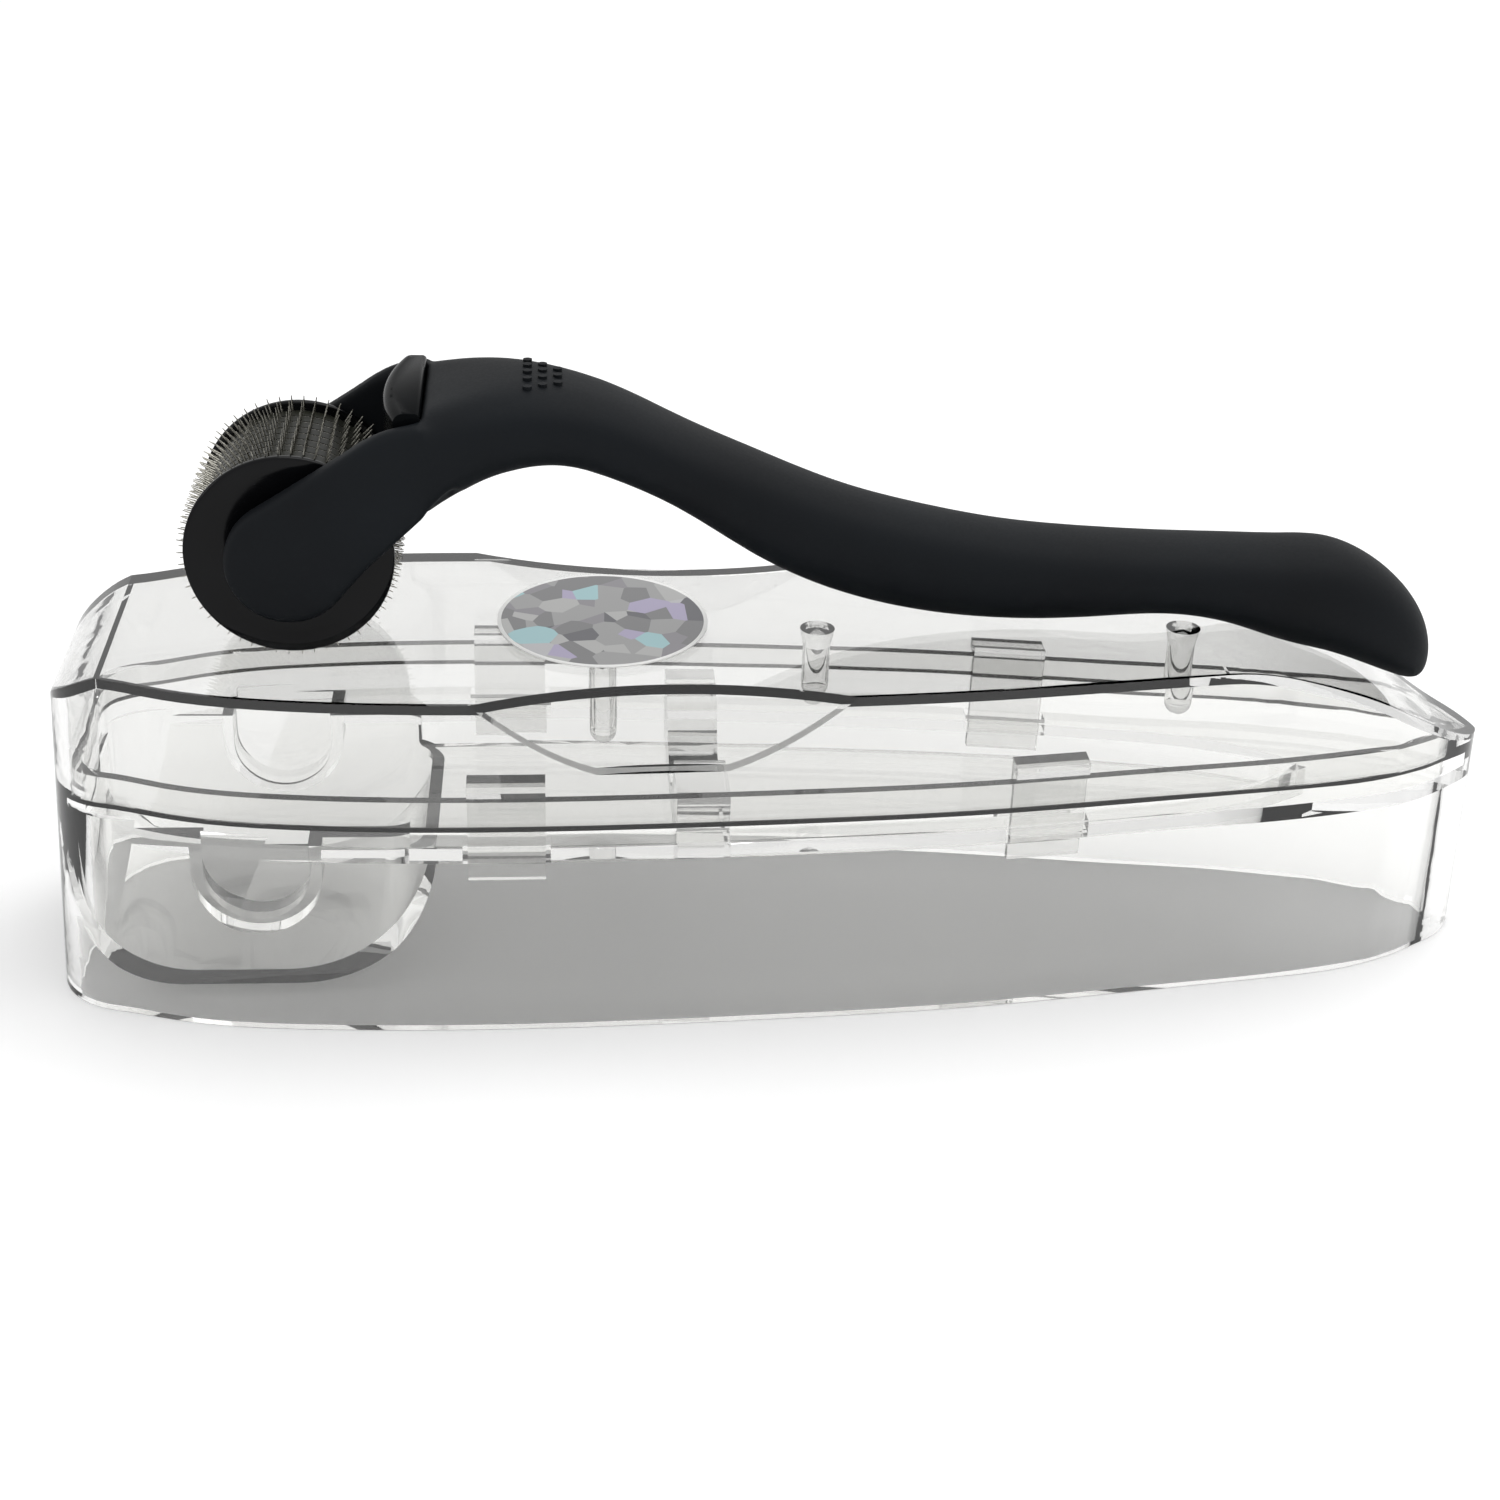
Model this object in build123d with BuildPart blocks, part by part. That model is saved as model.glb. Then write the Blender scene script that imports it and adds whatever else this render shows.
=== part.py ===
"""Derma roller lying on its clear storage case.

Millimetres.  X runs along the case from the roller's head to its tail, Y runs from front to back and Z is up.
The origin is the middle of the case's underside.
"""

import math
import os

from build123d import *

# ---------------------------------------------------------------- case: driving sizes
case_length = 169.2
case_height = 40.4
seam_height = 25.2  # where the lid meets the base
head_end = -case_length / 2
tail_end = case_length / 2
case_wall = 1.6
draft = 0.037  # millimetres of inset per millimetre of height
corner_radius = 9.0  # the two corners at the head end
corner_sweep = 76.0  # degrees of each corner before the side begins
corner_offset = 8.6  # from the middle plane to the corner's centre
# half widths of the underside, as (share of the case's length from its head end, half width)
side_shares = [
    (0.083, 19.6),
    (0.169, 21.8),
    (0.305, 22.4),
    (0.488, 21.1),
    (0.615, 19.4),
    (0.766, 15.8),
    (0.855, 13.5),
    (0.912, 11.2),
    (0.944, 8.8),
    (0.974, 5.6),
]
side_stations = [(head_end + share * case_length, width) for share, width in side_shares]
nose_run = 3.5  # clear length left between the last of these and the nose's tip
nose_slope = 0.6  # how far the side runs in for each millimetre along, where the round nose begins

head_lean = 0.065  # extra millimetres of inset per millimetre of height, at the head end
head_lean_length = 34.0  # by here along the case the extra lean has faded out
# the slope between the lid's top and its head end, as (distance from the head end, depth below the top)
head_crease = (7.4, 0.0)
head_shoulder = (3.6, 2.0)
head_foot_depth = 6.2
head_foot_bite = 0.15  # how far the slope's foot stands outside the end wall
nose_start = tail_end - 36.6  # the lid's top is level up to here
# the falling nose, as (place, how far it lies below the lid's top)
nose_drop = [(tail_end - 24.4, 2.4), (tail_end - 17.9, 4.9), (tail_end - 10.8, 8.8), (tail_end - 5.2, 12.0)]
nose_tip_band = 0.5  # upright edge left above the seam at the tip

scallop_place = head_end + 71.1  # middle of the finger scallops
scallop_length = 43.0
scallop_depth = 4.3
scallop_height = 8.4

deck_top = 22.3
deck_thickness = 1.5
lip_height = 3.0
lip_thickness = 1.2
lip_clearance = 0.2

well_start = head_end + 4.2
well_end = head_end + 42.2
well_half_width = 13.6
well_floor = 3.6
well_wall = 1.4
well_head_radius = 12.0
well_tail_radius = 16.0
well_corner_radius = 4.0
trough_floor = 18.5
trough_inset = 7.6
trough_end = tail_end - 22.6
trough_end_run = 8.0  # length of the trough's rounded end
rest_place = head_end + 24.1  # half-round rests for the ends of the fork, beside the well
rest_height = 18.5
rest_radius = 5.8
rest_half_width = 17.4
cradle_place = head_end + 73.6
cradle_thickness = 6.0
cradle_top = 26.6
cradle_notch_radius = 7.6
cradle_notch_rise = 1.5  # of the notch's centre above the cradle's top

post_radius = 1.6
post_root_flare = 0.5
post_root_length = 2.0
# the posts under the lid, as (place along the case, height of the post's end)
post_feet = [(head_end + 62.6, 25.3), (head_end + 87.4, 30.1), (head_end + 130.6, 29.1)]
catch_width = 8.6
catch_thickness = 1.0
catch_foot = 17.6
catch_root_thickness = 1.4
catch_places = [head_end + 51.6, head_end + 113.0]
catch_gap = 0.55

sticker_length = 24.2
sticker_width = 25.6
sticker_thickness = 0.15
sticker_place = (head_end + 62.6, 1.2)

# ---------------------------------------------------------------- roller head: driving sizes
tip_radius = 12.1  # needle tips
needle_length = 1.7
needle_width = 0.45
needle_root = 0.1  # of each needle sunk in its disc
needle_waist = 1.0  # from the root to where the point begins
needles_per_disc = 54
disc_count = 10
disc_thickness = 0.3
disc_bore_radius = 7.0
drum_width = 18.6  # over the two end flanges
flange_radius = 11.3
flange_thickness = 0.9
flange_edge = 0.35
flange_dish_depth = 0.35
flange_step = 0.9  # how far the dish's slope runs inwards
flange_rim = 1.1
flange_boss_radius = 4.2
core_wall = 1.2
axle_radius = 1.5
bush_radius = 2.6
bush_length = 4.0
running_clearance = 0.05
washer_radius = 3.4
washer_thickness = 0.35
washer_clearance = 0.075
rest_clearance = 0.2  # between the needle tips and the lid

# ---------------------------------------------------------------- handle: driving sizes
arm_thickness = 2.6
arm_boss_radius = 6.8
arm_edge_radius = 0.9
socket_depth = 1.6
drum_window_clearance = 1.1
handle_wall = 1.8
section_points = 16
axle_from_head = 28.5  # from the case's head end
tail_room = 9.8  # from the handle's tail to the case's tail end
grip_start = 14.4  # the handle's front face, behind the axle
grip_end = case_length - axle_from_head - tail_room
# the handle, as (share of its length, top and bottom above the axle, half width, squareness);
# a squareness of 2 is an ellipse and more is boxier
grip_shares = [
    (0.0, 16.0, 4.0, 12.3, 5.0),
    (0.022, 16.7, 5.7, 11.7, 4.0),
    (0.057, 17.6, 7.6, 10.5, 3.2),
    (0.091, 17.8, 8.4, 9.2, 2.8),
    (0.13, 17.2, 8.4, 8.2, 2.6),
    (0.173, 15.8, 6.8, 7.5, 2.5),
    (0.237, 12.4, 3.2, 7.1, 2.4),
    (0.314, 8.5, -2.6, 6.9, 2.4),
    (0.4, 4.5, -7.2, 6.8, 2.4),
    (0.482, 1.9, -9.5, 6.8, 2.4),
    (0.563, 0.1, -10.4, 6.7, 2.4),
    (0.649, -0.9, -10.2, 6.6, 2.4),
    (0.726, -1.4, -9.8, 6.5, 2.4),
    (0.795, -1.6, -11.2, 6.8, 2.4),
    (0.846, -1.7, -13.2, 7.2, 2.4),
    (0.894, -2.0, -14.6, 7.5, 2.4),
    (0.937, -4.0, -16.4, 7.3, 2.3),
    (0.969, -6.8, -17.9, 6.5, 2.2),
    (0.989, -9.6, -18.6, 5.2, 2.1),
    (1.0, -12.3, -18.1, 3.2, 2.0),
]
handle_stations = [(grip_start + share * (grip_end - grip_start), *sizes) for share, *sizes in grip_shares]
cavity_stations = (1, 17)  # first and one past the last station that the cavity runs through
bridge_foot = 5.6  # above the axle
bridge_top = 16.4
bridge_middle = 10.1  # the cross piece's front edge, behind the axle, at its middle and at its ends
bridge_ends = 11.6
bridge_front_radius = 1.1
bridge_back_radius = 0.5
pin_radius = 1.0
pin_clearance = 0.05
pin_length = 2.2
pin_end_gap = 0.4
boss_radius = 2.2
pin_places = [31.0, 62.0, 95.0]  # behind the axle
dot_radius = 0.5
dot_height = 0.35
dot_pitch_along = 1.65
dot_pitch_across = 2.27
dot_rows = [5, 4, 3]
dot_place = 25.7  # first row, behind the axle

# ---------------------------------------------------------------- derived places
lid_top = case_height
axle_x = head_end + axle_from_head
axle_z = lid_top + tip_radius + rest_clearance
arm_inner = drum_width / 2 + 2 * washer_clearance + washer_thickness
arm_outer = arm_inner + arm_thickness
ring_radius = tip_radius - needle_length
needle_zone = drum_width - 2 * flange_thickness
spacer_thickness = (needle_zone - disc_count * disc_thickness) / (disc_count - 1)
window_radius = tip_radius + drum_window_clearance
axle_plane = Plane(origin=(axle_x, 0, axle_z), x_dir=(1, 0, 0), z_dir=(0, -1, 0))

os.makedirs("parts", exist_ok=True)


def save(built, label):
    """Label a finished piece and write it under its own name."""
    piece = built.part if isinstance(built, BuildPart) else built
    piece.label = label
    export_step(piece, f"parts/{label}.step")


# ================================================================ case
def head_inset(place, height):
    """How much further in the sides stand near the head end, where they lean more."""
    return head_lean * height * max(0, 1 - (place - head_end) / head_lean_length)


def case_block(low, high, inset):
    """The case's boat-shaped plan between two heights, drawn in by the draft and by inset."""
    kept = [(x, width) for x, width in side_stations if x < tail_end - inset - nose_run]
    with BuildPart() as block:
        for height in (low, high):
            shrink = inset + draft * height
            head_x = head_end + shrink
            tip_x = tail_end - shrink
            corner_y = corner_offset - head_inset(head_end + corner_radius, height)
            with BuildSketch(Plane.XY.offset(height)):
                with BuildLine():
                    end = Line((head_x, 0), (head_x, -corner_y))
                    corner = JernArc(end @ 1, end % 1, corner_radius - shrink, corner_sweep)
                    stations = [(x, shrink + head_inset(x, height) - width) for x, width in kept]
                    side = Spline(corner @ 1, *stations, tangents=[corner % 1, (1, nose_slope)])
                    TangentArc(side @ 1, (tip_x, 0), tangent=side % 1)
                    mirror(about=Plane.XZ)
                make_face()
        loft()
    return block.part


def nose_cutter(sink):
    """Everything above the lid's falling nose, lowered by sink."""
    tip = (case_length / 2 + 1, seam_height + nose_tip_band - sink)
    fall = [(x, lid_top - drop - sink) for x, drop in nose_drop]
    with BuildPart() as cutter:
        with BuildSketch(Plane.XZ):
            with BuildLine():
                curve = Spline((nose_start, lid_top - sink), *fall, tip, tangents=[(1, 0), (1, -0.5)])
                Polyline(curve @ 1, (tip[0], lid_top + 5), (nose_start, lid_top + 5), curve @ 0)
            make_face()
        extrude(amount=case_length / 4, both=True)
    return cutter.part


def head_cutter(sink):
    """Everything outside the slope between the lid's top and its head end, drawn in by sink."""
    foot_z = lid_top - head_foot_depth
    foot = (head_end + draft * foot_z - head_foot_bite + sink, foot_z)
    shoulder = (head_end + head_shoulder[0] + sink / 2, lid_top - head_shoulder[1] - sink)
    crease = (head_end + head_crease[0] + sink / 4, lid_top - head_crease[1] - sink)
    with BuildPart() as cutter:
        with BuildSketch(Plane.XZ):
            with BuildLine():
                curve = Spline(crease, shoulder, foot, tangents=[(-1, -0.35), (0, -1)])
                far = (head_end - head_crease[0], lid_top + head_foot_depth)
                Polyline(curve @ 1, (far[0], foot_z), far, (crease[0], far[1]), curve @ 0)
            make_face()
        extrude(amount=case_length / 4, both=True)
    return cutter.part


def scallop_cutter(extra):
    """The pair of cones that cut the finger scallops, swollen by extra."""
    half = scallop_length / 2
    radius = (half**2 + scallop_depth**2) / (2 * scallop_depth)
    rise = 2.0  # the cones run this far past the lid's top
    growth = scallop_depth * (1 + rise / scallop_height)
    centre_y = side_at(scallop_place) - draft * lid_top - scallop_depth + radius
    foot = lid_top - scallop_height
    with BuildPart() as cutter:
        with Locations((scallop_place, -centre_y, foot), (scallop_place, centre_y, foot)):
            Cone(
                radius - scallop_depth + extra,
                radius - scallop_depth + growth + extra,
                scallop_height + rise,
                align=(Align.CENTER, Align.CENTER, Align.MIN),
            )
    return cutter.part


def lid_form(low, inset):
    """The lid's solid shape from low upwards, inset from its sides, top, nose and scallops."""
    with BuildPart() as form:
        add(case_block(low, lid_top - inset, inset))
        add(nose_cutter(inset), mode=Mode.SUBTRACT)
        add(head_cutter(inset), mode=Mode.SUBTRACT)
        add(scallop_cutter(inset), mode=Mode.SUBTRACT)
    return form.part


def side_at(place):
    """The underside's half width at a place along the case, by straight lines between its stations."""
    for (x0, w0), (x1, w1) in zip(side_stations, side_stations[1:]):
        if x0 <= place <= x1:
            return w0 + (w1 - w0) * (place - x0) / (x1 - x0)
    raise ValueError(f"{place} lies outside the side stations")


def wall_band(low, high, outer_inset, inner_inset, place, width):
    """A short length of both side walls at place, between two insets from the case's outside."""
    with BuildPart() as band:
        add(case_block(low, high, outer_inset))
        add(case_block(low - 1, high + 1, inner_inset), mode=Mode.SUBTRACT)
        with Locations((place, 0, (low + high) / 2)):
            Box(width, case_length, high - low, mode=Mode.INTERSECT)
    return band.part


def build_lid():
    catch_outer = case_wall + lip_clearance + lip_thickness + catch_gap
    catch_inner = catch_outer + catch_thickness
    root = seam_height + lip_height + catch_gap
    with BuildPart() as lid:
        add(lid_form(seam_height, 0))
        add(lid_form(seam_height - 1, case_wall), mode=Mode.SUBTRACT)
        for place, foot in post_feet:
            ceiling = lid_top - case_wall
            with Locations((place, 0, foot + post_radius)):
                Sphere(post_radius)
                Cylinder(
                    post_radius,
                    ceiling + case_wall / 2 - foot - post_radius,
                    align=(Align.CENTER, Align.CENTER, Align.MIN),
                )
            with Locations((place, 0, ceiling - post_root_length)):
                Cone(
                    post_radius,
                    post_radius + post_root_flare,
                    post_root_length + case_wall / 4,
                    align=(Align.CENTER, Align.CENTER, Align.MIN),
                )
        for place in catch_places:
            add(wall_band(catch_foot, root + catch_root_thickness, catch_outer, catch_inner, place, catch_width))
            add(wall_band(root, root + catch_root_thickness, case_wall / 2, catch_inner, place, catch_width))
    save(lid, "case_lid")


def well_block(grow, top):
    """The round-bottomed well for the drum, its walls pushed out by grow."""
    with BuildPart() as well:
        with BuildSketch(Plane.XZ):
            with BuildLine():
                left = well_start - grow
                right = well_end + grow
                floor = well_floor - grow
                down = Line((left, top), (left, floor + well_head_radius))
                head = JernArc(down @ 1, (0, -1), well_head_radius, 90)
                flat = Line(head @ 1, (right - well_tail_radius, floor))
                tail = JernArc(flat @ 1, (1, 0), well_tail_radius, 90)
                Polyline(tail @ 1, (right, top), (left, top))
            make_face()
        extrude(amount=well_half_width + grow, both=True)
        with BuildSketch(Plane.XY.offset(floor - 1)):
            with Locations(((left + right) / 2, 0)):
                RectangleRounded(right - left, 2 * (well_half_width + grow), well_corner_radius + grow)
        extrude(amount=top - floor + 2, mode=Mode.INTERSECT)
    return well.part


def rest_block(grow, top):
    """The half-round rests for the fork, one on each side of the well."""
    with BuildPart() as rests:
        with BuildSketch(Plane.XZ):
            with Locations((rest_place, rest_height)):
                Circle(rest_radius + grow)
            with Locations((rest_place, (rest_height + top) / 2)):
                Rectangle(2 * (rest_radius + grow), top - rest_height)
            with Locations((rest_place, top + rest_radius)):
                Rectangle(4 * rest_radius, 2 * rest_radius, mode=Mode.SUBTRACT)
        extrude(amount=rest_half_width + grow, both=True)
    return rests.part


def trough_block(grow, top):
    """The shallow trough for the handle, from the well towards the nose."""
    start = well_end - well_wall
    last = trough_end - trough_end_run
    stations = [(x, grow + trough_inset - width) for x, width in side_stations if start < x < last]
    with BuildPart() as trough:
        with BuildSketch(Plane.XY.offset(trough_floor - grow)):
            with BuildLine():
                end = Line((start, 0), (start, grow + trough_inset - side_at(start)))
                side = Spline(end @ 1, *stations)
                TangentArc(side @ 1, (trough_end + grow, 0), tangent=side % 1)
                mirror(about=Plane.XZ)
            make_face()
        extrude(amount=top - trough_floor + grow)
    return trough.part


def lip_block(top, inset):
    """The solid rim inside the lid, kept clear of the lid's falling nose."""
    with BuildPart() as rim:
        add(case_block(seam_height - 1, top, inset))
        add(nose_cutter(inset), mode=Mode.SUBTRACT)
    return rim.part


def build_base():
    lip_outer = case_wall + lip_clearance
    lip_inner = lip_outer + lip_thickness
    lip_top = seam_height + lip_height
    skin = deck_top - deck_thickness / 2  # pockets are skinned up to the middle of the deck
    cut = 1.0
    with BuildPart() as base:
        add(case_block(0, seam_height, 0))
        add(lip_block(lip_top, lip_outer))
        add(case_block(-cut, deck_top - deck_thickness, case_wall), mode=Mode.SUBTRACT)
        add(case_block(deck_top, lip_top + cut, lip_inner), mode=Mode.SUBTRACT)
        for pocket in (well_block, rest_block, trough_block):
            add(pocket(well_wall, skin))
        for pocket in (well_block, rest_block, trough_block):
            add(pocket(0, deck_top + cut), mode=Mode.SUBTRACT)
        for place in catch_places:
            slot_end = catch_width + 2 * catch_gap
            slot_outer = lip_inner + catch_gap / 2
            slot_inner = lip_inner + catch_thickness + 2 * catch_gap
            band = wall_band(skin - cut, skin + cut, slot_outer, slot_inner, place, slot_end)
            add(band, mode=Mode.SUBTRACT)
        saddle = side_at(cradle_place) - trough_inset + well_wall / 2
        with BuildSketch(Plane.YZ.offset(cradle_place)):
            with Locations((0, (trough_floor + cradle_top) / 2)):
                Rectangle(2 * saddle, cradle_top - trough_floor)
            with Locations((0, cradle_top + cradle_notch_rise)):
                Circle(cradle_notch_radius, mode=Mode.SUBTRACT)
        extrude(amount=cradle_thickness / 2, both=True)
    save(base, "case_base")


def build_sticker():
    with BuildPart() as sticker:
        with BuildSketch(Plane.XY.offset(lid_top)):
            with Locations(sticker_place):
                Ellipse(sticker_length / 2, sticker_width / 2)
        extrude(amount=sticker_thickness)
    save(sticker, "lid_sticker")


# ================================================================ drum
def drum_plane(y):
    """A plane square to the axle at y, looking from the front, centred on the axle."""
    return axle_plane.offset(-y)


def build_flange(side, label):
    """side is -1 for the front flange and 1 for the back one."""
    outer = drum_width / 2
    with BuildPart() as flange:
        with BuildSketch(Plane.XY):
            with BuildLine():
                Polyline(
                    (bush_radius, outer - flange_thickness),
                    (flange_radius, outer - flange_thickness),
                    (flange_radius, outer - flange_edge),
                    (flange_radius - flange_edge, outer),
                    (flange_radius - flange_rim, outer),
                    (flange_radius - flange_rim - flange_step, outer - flange_dish_depth),
                    (flange_boss_radius + flange_dish_depth, outer - flange_dish_depth),
                    (flange_boss_radius, outer),
                    (bush_radius, outer),
                    close=True,
                )
            make_face()
        revolve(axis=Axis.Y)
    piece = flange.part if side > 0 else flange.part.mirror(Plane.XZ)
    save(piece.moved(Location((axle_x, 0, axle_z))), label)


def build_core():
    """The hub that carries the discs and spacers, with a seat for a bush at each end."""
    half = needle_zone / 2
    with BuildPart() as core:
        with BuildSketch(drum_plane(-half)):
            Circle(disc_bore_radius)
            Circle(disc_bore_radius - core_wall, mode=Mode.SUBTRACT)
            Circle(bush_radius + core_wall)
            with PolarLocations((disc_bore_radius + bush_radius) / 2, 4):
                Rectangle(disc_bore_radius - bush_radius - core_wall, core_wall)
            Circle(bush_radius, mode=Mode.SUBTRACT)
        extrude(amount=-2 * half)
    save(core, "drum_core")


def build_disc(index):
    """One steel disc with its ring of needles; the first and last discs lie against the flanges."""
    front = -needle_zone / 2 + index * (spacer_thickness + disc_thickness)
    with BuildPart() as disc:
        with BuildSketch(drum_plane(front)):
            Circle(ring_radius)
            with PolarLocations(ring_radius - needle_root, needles_per_disc):
                Polygon(
                    (0, -needle_width / 2),
                    (needle_waist, -needle_width / 4),
                    (needle_root + needle_length, 0),
                    (needle_waist, needle_width / 4),
                    (0, needle_width / 2),
                    align=None,
                )
            Circle(disc_bore_radius, mode=Mode.SUBTRACT)
        extrude(amount=-disc_thickness)
    save(disc, f"needle_disc_{index + 1:02d}")


def build_spacer(index):
    """The plain ring behind a disc, which keeps the next disc at its distance."""
    front = -needle_zone / 2 + disc_thickness + index * (spacer_thickness + disc_thickness)
    with BuildPart() as spacer:
        with BuildSketch(drum_plane(front)):
            Circle(ring_radius - 0.05)
            Circle(disc_bore_radius, mode=Mode.SUBTRACT)
        extrude(amount=-spacer_thickness)
    save(spacer, f"spacer_{index + 1:02d}")


def build_bush(side, label):
    outer = drum_width / 2
    with BuildPart() as bush:
        with BuildSketch(drum_plane(side * outer)):
            Circle(bush_radius)
            Circle(axle_radius + running_clearance, mode=Mode.SUBTRACT)
        extrude(amount=side * bush_length)
    save(bush, label)


def build_axle():
    reach = arm_inner + socket_depth
    with BuildPart() as axle:
        with BuildSketch(drum_plane(-reach)):
            Circle(axle_radius)
        extrude(amount=-2 * reach)
    save(axle, "axle")


def build_washer(side, label):
    face = drum_width / 2 + washer_clearance
    with BuildPart() as washer:
        with BuildSketch(drum_plane(side * face)):
            Circle(washer_radius)
            Circle(axle_radius + running_clearance, mode=Mode.SUBTRACT)
        extrude(amount=-side * washer_thickness)
    save(washer, label)


# ================================================================ handle
def handle_loft(stations, inset):
    """A smooth body through superellipse sections square to X."""
    with BuildPart() as body:
        for behind, top, bottom, half_width, squareness in stations:
            with BuildSketch(Plane.YZ.offset(axle_x + behind)):
                middle = axle_z + (top + bottom) / 2
                tall = (top - bottom) / 2 - inset
                wide = half_width - inset
                points = []
                for step in range(section_points):
                    angle = 2 * math.pi * step / section_points
                    across, up = math.cos(angle), math.sin(angle)
                    reach = (abs(across) ** squareness + abs(up) ** squareness) ** (-1 / squareness)
                    points.append((wide * reach * across, middle + tall * reach * up))
                with BuildLine():
                    Spline(*points, periodic=True)
                make_face()
        loft()
    return body.part


def arm_outline():
    """One fork arm, in the plane square to the axle, from its round boss back to the handle."""
    start, top, bottom = handle_stations[0][:3]
    root = start + 0.5
    with BuildLine() as outline:
        boss = CenterArc((0, 0), arm_boss_radius, 122, 198)
        under = Spline(boss @ 1, (9.8, 0.6), (root, bottom), tangents=[boss % 1, (1, 0.75)])
        back = Line(under @ 1, (root, top - 0.2))
        Spline(
            back @ 1,
            (10.7, 14.9),
            (6.8, 12.5),
            (2.7, 9.8),
            boss @ 0,
            tangents=[(-1, -0.1), boss % 0],
        )
    return outline.line


def fork_arm(side):
    """One arm of the fork with its outer rim rounded."""
    with BuildPart() as arm:
        with BuildSketch(drum_plane(side * arm_inner)):
            add(arm_outline())
            make_face()
        extrude(amount=-side * arm_thickness)
        rim = arm.faces().sort_by(Axis.Y)[0 if side < 0 else -1].edges()
        fillet(rim.filter_by(Axis.Z, reverse=True), arm_edge_radius)
    return arm.part


def build_half(side, label):
    """side is -1 for the front half, with the pin holes, and 1 for the back half, with the pins."""
    first, last = cavity_stations
    with BuildPart() as half:
        add(handle_loft(handle_stations, 0))
        add(handle_loft(handle_stations[first:last], handle_wall), mode=Mode.SUBTRACT)
        split(bisect_by=Plane.XZ, keep=Keep.TOP if side < 0 else Keep.BOTTOM)
        add(fork_arm(side))
        with BuildSketch(drum_plane(side * arm_inner)):
            Circle(axle_radius)
        extrude(amount=-side * socket_depth, mode=Mode.SUBTRACT)
        for place in pin_places:
            top, bottom, half_width = station_values(place)[:3]
            spot = (axle_x + place, axle_z + (top + bottom) / 2)
            with BuildSketch(Plane.XZ):
                with Locations(spot):
                    Circle(boss_radius)
            extrude(amount=-side * (half_width - handle_wall / 2))
            reach = pin_length if side > 0 else pin_length + pin_end_gap
            with BuildSketch(Plane.XZ.offset(reach)):
                with Locations(spot):
                    Circle(pin_radius if side > 0 else pin_radius + pin_clearance)
            extrude(amount=-reach, mode=Mode.ADD if side > 0 else Mode.SUBTRACT)
    save(half, label)


def station_values(place):
    """Top, bottom, half width and squareness of the handle at a distance behind the axle."""
    for left, right in zip(handle_stations, handle_stations[1:]):
        if left[0] <= place <= right[0]:
            share = (place - left[0]) / (right[0] - left[0])
            return [a + (b - a) * share for a, b in zip(left[1:], right[1:])]
    raise ValueError(f"{place} lies outside the handle")


def build_bridge():
    """The glossy cross piece between the arms, bowed towards the drum."""
    back = axle_x + grip_start
    with BuildPart() as bridge:
        with BuildSketch(Plane.XY.offset(axle_z + bridge_foot)):
            with BuildLine():
                front = ThreePointArc(
                    (axle_x + bridge_ends, -arm_inner),
                    (axle_x + bridge_middle, 0),
                    (axle_x + bridge_ends, arm_inner),
                )
                Polyline(front @ 1, (back, arm_inner), (back, -arm_inner), front @ 0)
            make_face()
        extrude(amount=bridge_top - bridge_foot)
        rim = bridge.faces().sort_by(Axis.Z)[-1].edges().sort_by(Axis.X)
        fillet(rim[0], bridge_front_radius)
        rim = bridge.faces().sort_by(Axis.Z)[-1].edges().sort_by(Axis.X)
        fillet(rim[-1], bridge_back_radius)
        with BuildSketch(drum_plane(arm_inner)):
            Circle(window_radius)
        extrude(amount=2 * arm_inner, mode=Mode.SUBTRACT)
    save(bridge, "fork_bridge")


def build_dots():
    """Rows of raised dots that follow the handle's top."""
    with BuildPart() as dots:
        for row, count in enumerate(dot_rows):
            behind = dot_place + row * dot_pitch_along
            top, bottom, half_width, squareness = station_values(behind)
            for step in range(count):
                y = (step - (count - 1) / 2) * dot_pitch_across
                share = (1 - abs(y / half_width) ** squareness) ** (1 / squareness)
                surface = (top + bottom) / 2 + share * (top - bottom) / 2
                with Locations((axle_x + behind, y, axle_z + surface)):
                    Cylinder(dot_radius, 2 * dot_height)
        add(handle_loft(handle_stations, 0), mode=Mode.SUBTRACT)
    save(dots, "grip_dots")


build_base()
build_lid()
build_sticker()
build_flange(-1, "front_flange")
build_flange(1, "back_flange")
build_core()
for index in range(disc_count):
    build_disc(index)
for index in range(disc_count - 1):
    build_spacer(index)
build_bush(-1, "front_bush")
build_bush(1, "back_bush")
build_axle()
build_washer(-1, "front_washer")
build_washer(1, "back_washer")
build_half(-1, "handle_front_half")
build_half(1, "handle_back_half")
build_bridge()
build_dots()
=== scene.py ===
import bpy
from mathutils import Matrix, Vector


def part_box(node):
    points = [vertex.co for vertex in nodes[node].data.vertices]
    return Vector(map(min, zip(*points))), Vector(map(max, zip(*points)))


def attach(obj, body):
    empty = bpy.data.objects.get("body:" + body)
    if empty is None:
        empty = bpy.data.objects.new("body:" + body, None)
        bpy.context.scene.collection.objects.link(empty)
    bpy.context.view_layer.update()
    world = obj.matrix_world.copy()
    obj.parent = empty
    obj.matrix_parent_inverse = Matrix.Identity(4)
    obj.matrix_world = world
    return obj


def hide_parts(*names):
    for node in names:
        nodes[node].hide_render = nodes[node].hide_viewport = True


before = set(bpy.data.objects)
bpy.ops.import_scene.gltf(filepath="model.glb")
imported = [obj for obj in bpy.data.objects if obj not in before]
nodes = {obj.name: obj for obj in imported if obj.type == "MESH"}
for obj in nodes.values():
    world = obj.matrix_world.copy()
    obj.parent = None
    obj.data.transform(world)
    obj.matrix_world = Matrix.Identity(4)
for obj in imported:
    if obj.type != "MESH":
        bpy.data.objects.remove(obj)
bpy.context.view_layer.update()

import math

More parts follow.
